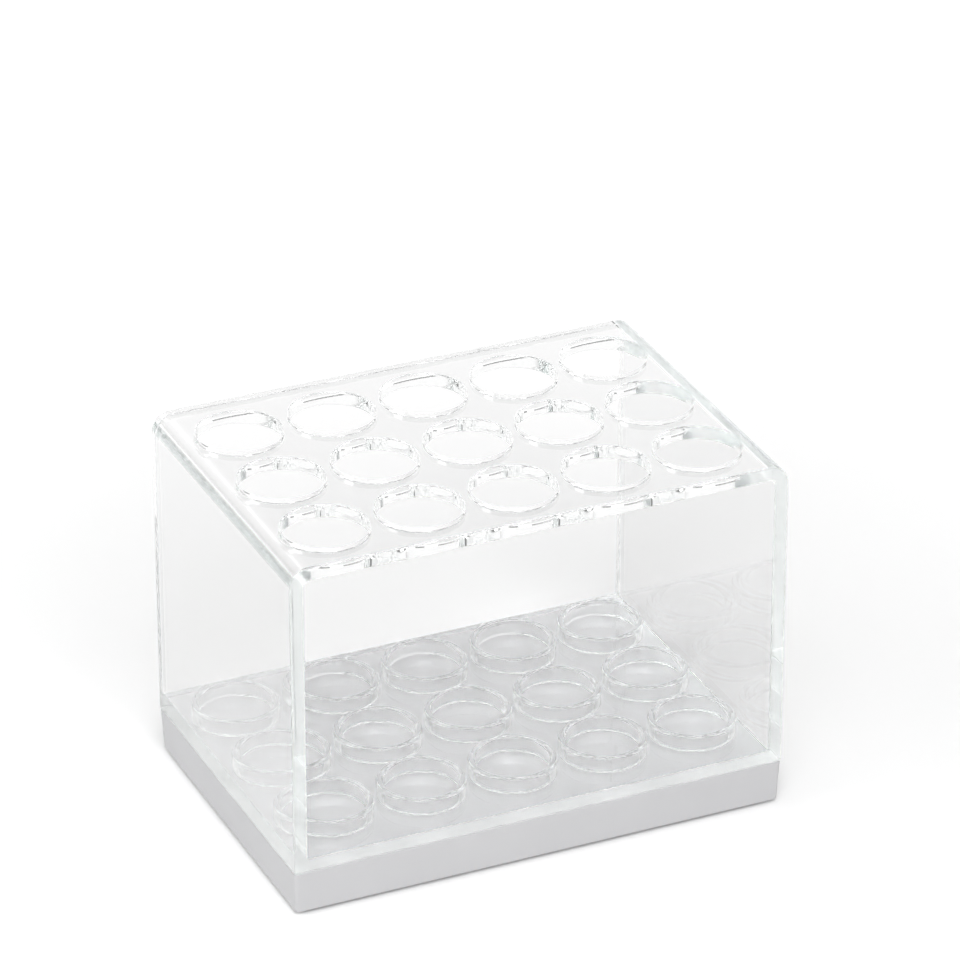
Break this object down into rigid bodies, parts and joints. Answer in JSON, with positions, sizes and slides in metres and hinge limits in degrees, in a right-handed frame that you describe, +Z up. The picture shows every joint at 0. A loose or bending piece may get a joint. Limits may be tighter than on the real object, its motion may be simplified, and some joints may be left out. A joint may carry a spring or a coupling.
{
  "type": "makeup organizer",
  "caption": "Upright open-fronted holder for make-up tools: a clear bent cover with a grid of round holes over ring sockets on a clear floor plate, standing on a white base.",
  "frame": {"origin": "on the surface that the feet stand on, under the middle of the footprint", "axes": "+Z up, +X to the right along the rows of holes, +Y from the front to the rear"},
  "size_m": [0.144, 0.097, 0.105],
  "materials": {
    "clear_acrylic": "clear polished acrylic with a faint cool tint at the cut edges",
    "white_plastic": "satin white",
    "foot_rubber": "matte grey bumper"
  },
  "bodies": {
    "base": {"white_base": "white_plastic", "base_foot_front_left": "foot_rubber", "base_foot_front_right": "foot_rubber", "base_foot_rear_left": "foot_rubber", "base_foot_rear_right": "foot_rubber"},
    "tower": {"clear_floor_plate": "clear_acrylic", "clear_cover": "clear_acrylic", "socket_ring_front_1": "clear_acrylic", "socket_ring_front_2": "clear_acrylic", "socket_ring_front_3": "clear_acrylic", "socket_ring_front_4": "clear_acrylic", "socket_ring_front_5": "clear_acrylic", "socket_ring_middle_1": "clear_acrylic", "socket_ring_middle_2": "clear_acrylic", "socket_ring_middle_3": "clear_acrylic", "socket_ring_middle_4": "clear_acrylic", "socket_ring_middle_5": "clear_acrylic", "socket_ring_rear_1": "clear_acrylic", "socket_ring_rear_2": "clear_acrylic", "socket_ring_rear_3": "clear_acrylic", "socket_ring_rear_4": "clear_acrylic", "socket_ring_rear_5": "clear_acrylic"}
  },
  "joints": [
    {"name": "tower_lift", "type": "slide", "parent": "base", "child": "tower", "axis": [0, 0, 1], "range_m": [0, 0.03]}
  ]
}
